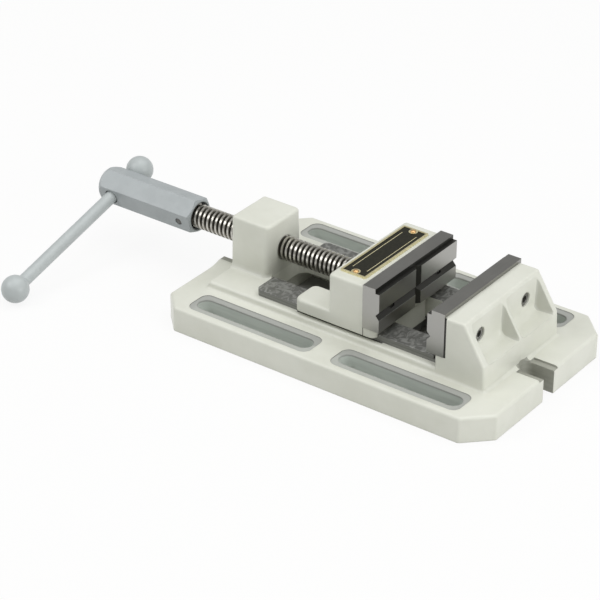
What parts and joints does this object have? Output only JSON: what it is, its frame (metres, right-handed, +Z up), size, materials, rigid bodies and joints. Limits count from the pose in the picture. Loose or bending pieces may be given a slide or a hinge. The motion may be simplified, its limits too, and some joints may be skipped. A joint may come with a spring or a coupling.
{
  "type": "drill press vise",
  "caption": "Drill press vise: slotted cast base with slideway and fixed jaw, a sliding jaw with grooved plates, and a screw with hexagonal hub and sliding handle.",
  "frame": {"origin": "on the base's underside, at the middle of the rectangle of the four side slots", "axes": "+X along the screw, from the handle towards the fixed jaw; +Y across the jaws; +Z up"},
  "size_m": [0.416, 0.2286, 0.0742],
  "materials": {
    "enamel": "warm off-white enamel over a cast surface",
    "jaw_steel": "ground hardened steel, dark grey",
    "black_steel": "blackened screw steel",
    "zinc_steel": "zinc-plated steel",
    "mill_steel": "plain milled steel",
    "bright_steel": "bright turned steel",
    "grey_paint": "smooth light grey paint",
    "brass": "black-filled brass plate with bare edges"
  },
  "bodies": {
    "base": {"base_casting": "enamel", "fixed_jaw_plate": "jaw_steel", "fixed_plate_screws": "black_steel", "fixed_plate_washers": "zinc_steel"},
    "jaw": {"movable_jaw": "enamel", "movable_jaw_plate": "jaw_steel", "movable_plate_screws": "black_steel", "name_plate": "brass", "name_plate_rivets": "brass", "keeper_plate": "mill_steel", "keeper_screws": "zinc_steel", "keeper_washers": "zinc_steel", "screw_retaining_pins": "bright_steel"},
    "screw": {"lead_screw": "bright_steel", "handle_hub": "grey_paint", "hub_cross_pin": "mill_steel"},
    "handle": {"handle_bar": "grey_paint", "handle_ball_lower": "grey_paint", "handle_ball_upper": "grey_paint"}
  },
  "joints": [
    {"name": "jaw_slide", "type": "slide", "parent": "base", "child": "jaw", "axis": [1, 0, 0], "range_m": [-0.0736, 0.0415]},
    {"name": "screw_turn", "type": "hinge", "parent": "jaw", "child": "screw", "pos_m": [0, 0, 0.0455], "axis": [1, 0, 0], "range_deg": [-6615, 3726]},
    {"name": "handle_slide", "type": "slide", "parent": "screw", "child": "handle", "axis": [0, 0.9668, 0.2555], "range_m": [0, 0.109]}
  ],
  "couplings": [
    {"joint": "jaw_slide", "follows": "screw_turn", "m_per_rad": 0.00063662}
  ]
}
